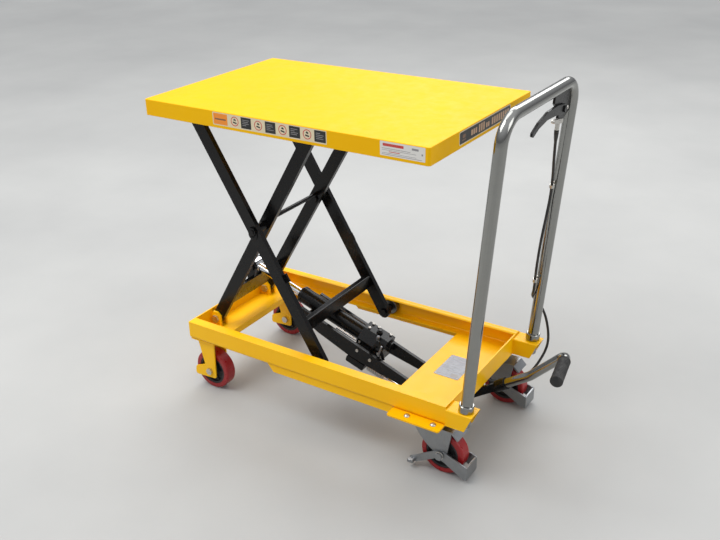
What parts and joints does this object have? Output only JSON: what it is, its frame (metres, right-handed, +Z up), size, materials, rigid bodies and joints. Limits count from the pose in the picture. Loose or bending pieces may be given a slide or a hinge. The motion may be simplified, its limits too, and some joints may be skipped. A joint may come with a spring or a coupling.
{
  "type": "scissor lift table",
  "caption": "Hand-pushed hydraulic scissor lift table, raised: flat deck on crossed arms over a wheeled base frame with foot pump, pedal and push handle.",
  "frame": {"origin": "on the floor, under the middle of the whole table", "axes": "+X towards the push handle along the deck, +Y to the right of a person pushing at the handle, +Z up through the deck"},
  "size_m": [0.9283, 0.45, 0.8052],
  "materials": {
    "frame_paint": "gloss paint",
    "deck_paint": "gloss paint",
    "black_paint": "gloss paint",
    "handle_chrome": "polished",
    "rod_chrome": "polished",
    "bolt_zinc": "zinc plated",
    "caster_zinc": "zinc plated",
    "roller_steel": "turned",
    "spring_steel": "drawn wire",
    "tread_red": "cast polyurethane",
    "hub_black": "moulded",
    "cable_black": "satin sheath",
    "grip_rubber": "moulded"
  },
  "bodies": {
    "base": {"left_side_rail": "frame_paint", "right_side_rail": "frame_paint", "front_cross_plate": "frame_paint", "rear_wall": "frame_paint", "cover_plate": "frame_paint", "frame_bolts": "bolt_zinc", "caster_mounts": "frame_paint", "handle_sockets": "frame_paint", "handle_nuts": "handle_chrome", "handle_tube": "handle_chrome", "base_pins": "bolt_zinc", "left_wheel_bracket": "frame_paint", "right_wheel_bracket": "frame_paint", "lever_bracket": "black_paint", "release_cable": "cable_black", "cable_clips": "bolt_zinc", "cable_clamp": "bolt_zinc", "left_caster_plate": "caster_zinc", "right_caster_plate": "caster_zinc"},
    "left_front_wheel": {"left_front_tread": "tread_red", "left_front_hub": "hub_black"},
    "right_front_wheel": {"right_front_tread": "tread_red", "right_front_hub": "hub_black"},
    "left_caster": {"left_caster_fork": "caster_zinc"},
    "right_caster": {"right_caster_fork": "caster_zinc"},
    "left_rear_wheel": {"left_rear_tread": "tread_red", "left_rear_hub": "hub_black"},
    "right_rear_wheel": {"right_rear_tread": "tread_red", "right_rear_hub": "hub_black"},
    "left_brake": {"left_brake_frame": "caster_zinc"},
    "right_brake": {"right_brake_frame": "caster_zinc"},
    "inner_arms": {"left_inner_arm": "black_paint", "right_inner_arm": "black_paint", "inner_cross_plate": "black_paint", "inner_tie_rod": "black_paint", "inner_pins": "bolt_zinc"},
    "left_top_roller_body": {"left_top_roller": "roller_steel"},
    "right_top_roller_body": {"right_top_roller": "roller_steel"},
    "left_bottom_roller_body": {"left_bottom_roller": "roller_steel"},
    "right_bottom_roller_body": {"right_bottom_roller": "roller_steel"},
    "outer_arms": {"left_outer_arm": "black_paint", "right_outer_arm": "black_paint", "outer_cross_tube": "black_paint", "outer_pins": "bolt_zinc"},
    "platform": {"platform_deck": "deck_paint", "roller_tracks": "frame_paint", "deck_brackets": "frame_paint", "deck_bolts": "bolt_zinc"},
    "rod": {"piston_rod": "rod_chrome"},
    "pump_unit": {"cylinder_gland": "black_paint", "cylinder_barrel": "black_paint", "pump_block": "black_paint", "side_bars": "black_paint", "return_spring": "spring_steel"},
    "plunger": {"pump_plunger": "rod_chrome"},
    "pedal": {"pedal_bracket": "black_paint", "pedal_tube": "handle_chrome", "pedal_sleeve": "grip_rubber"},
    "release": {"release_lever": "black_paint"},
    "valve": {"valve_lever": "bolt_zinc"}
  },
  "joints": [
    {"name": "lift", "type": "hinge", "parent": "base", "child": "inner_arms", "pos_m": [-0.4261, 0, 0.1575], "axis": [0, -1, 0], "range_deg": [-51.68, 0]},
    {"name": "outer_arms_turn", "type": "hinge", "parent": "inner_arms", "child": "outer_arms", "pos_m": [-0.25536, 0, 0.44371], "axis": [0, -1, 0], "range_deg": [0, 103.36]},
    {"name": "platform_level", "type": "hinge", "parent": "outer_arms", "child": "platform", "pos_m": [-0.4166, 0, 0.714], "axis": [0, -1, 0], "range_deg": [-51.68, 0]},
    {"name": "rod_swing", "type": "hinge", "parent": "inner_arms", "child": "rod", "pos_m": [-0.3771, 0, 0.276], "axis": [0, -1, 0], "range_deg": [0, 58.33]},
    {"name": "cylinder_stroke", "type": "slide", "parent": "rod", "child": "pump_unit", "axis": [0.9483, 0, -0.3173], "range_m": [-0.09431, 0]},
    {"name": "left_top_roller_spin", "type": "hinge", "parent": "inner_arms", "child": "left_top_roller_body", "pos_m": [-0.09412, -0.116, 0.714], "axis": [0, 1, 0], "continuous": true},
    {"name": "left_bottom_roller_spin", "type": "hinge", "parent": "outer_arms", "child": "left_bottom_roller_body", "pos_m": [-0.08462, -0.17275, 0.1575], "axis": [0, 1, 0], "continuous": true},
    {"name": "left_front_wheel_spin", "type": "hinge", "parent": "base", "child": "left_front_wheel", "pos_m": [-0.3986, -0.154, 0.05], "axis": [0, 1, 0], "continuous": true},
    {"name": "left_caster_swivel", "type": "hinge", "parent": "base", "child": "left_caster", "pos_m": [0.2039, -0.154, 0.115], "axis": [0, 0, 1], "continuous": true},
    {"name": "left_rear_wheel_spin", "type": "hinge", "parent": "left_caster", "child": "left_rear_wheel", "pos_m": [0.2429, -0.154, 0.05], "axis": [0, 1, 0], "continuous": true},
    {"name": "left_brake_press", "type": "hinge", "parent": "left_caster", "child": "left_brake", "pos_m": [0.2429, -0.154, 0.05], "axis": [0, -1, 0], "range_deg": [0, 8]},
    {"name": "right_top_roller_spin", "type": "hinge", "parent": "inner_arms", "child": "right_top_roller_body", "pos_m": [-0.09412, 0.116, 0.714], "axis": [0, 1, 0], "continuous": true},
    {"name": "right_bottom_roller_spin", "type": "hinge", "parent": "outer_arms", "child": "right_bottom_roller_body", "pos_m": [-0.08462, 0.17275, 0.1575], "axis": [0, 1, 0], "continuous": true},
    {"name": "right_front_wheel_spin", "type": "hinge", "parent": "base", "child": "right_front_wheel", "pos_m": [-0.3986, 0.154, 0.05], "axis": [0, 1, 0], "continuous": true},
    {"name": "right_caster_swivel", "type": "hinge", "parent": "base", "child": "right_caster", "pos_m": [0.2039, 0.154, 0.115], "axis": [0, 0, 1], "continuous": true},
    {"name": "right_rear_wheel_spin", "type": "hinge", "parent": "right_caster", "child": "right_rear_wheel", "pos_m": [0.2429, 0.154, 0.05], "axis": [0, 1, 0], "continuous": true},
    {"name": "right_brake_press", "type": "hinge", "parent": "right_caster", "child": "right_brake", "pos_m": [0.2429, 0.154, 0.05], "axis": [0, -1, 0], "range_deg": [0, 8]},
    {"name": "pedal_press", "type": "hinge", "parent": "base", "child": "pedal", "pos_m": [0.18554, 0, 0.06033], "axis": [0, 1, 0], "range_deg": [0, 25], "stiffness_Nm_per_rad": 14, "springref_deg": -25.78},
    {"name": "plunger_push", "type": "slide", "parent": "pump_unit", "child": "plunger", "axis": [-0.9483, 0, 0.3173], "range_m": [0, 0.01222], "deforming": ["return_spring"]},
    {"name": "release_squeeze", "type": "hinge", "parent": "base", "child": "release", "pos_m": [0.34844, 0.112, 0.74466], "axis": [-0.9962, 0, 0.0872], "range_deg": [0, 12], "stiffness_Nm_per_rad": 1.2, "springref_deg": -11.46},
    {"name": "valve_turn", "type": "hinge", "parent": "base", "child": "valve", "pos_m": [0.2309, 0.039, 0.106], "axis": [0, 1, 0], "range_deg": [0, 12]}
  ],
  "couplings": [
    {"joint": "outer_arms_turn", "follows": "lift", "ratio": -2},
    {"joint": "platform_level", "follows": "lift", "ratio": 1},
    {"joint": "rod_swing", "follows": "lift", "ratio": -1.1284},
    {"joint": "cylinder_stroke", "follows": "lift", "m_per_rad": 0.10454},
    {"joint": "plunger_push", "follows": "pedal_press", "m_per_rad": 0.028},
    {"joint": "valve_turn", "follows": "release_squeeze", "ratio": 1}
  ]
}
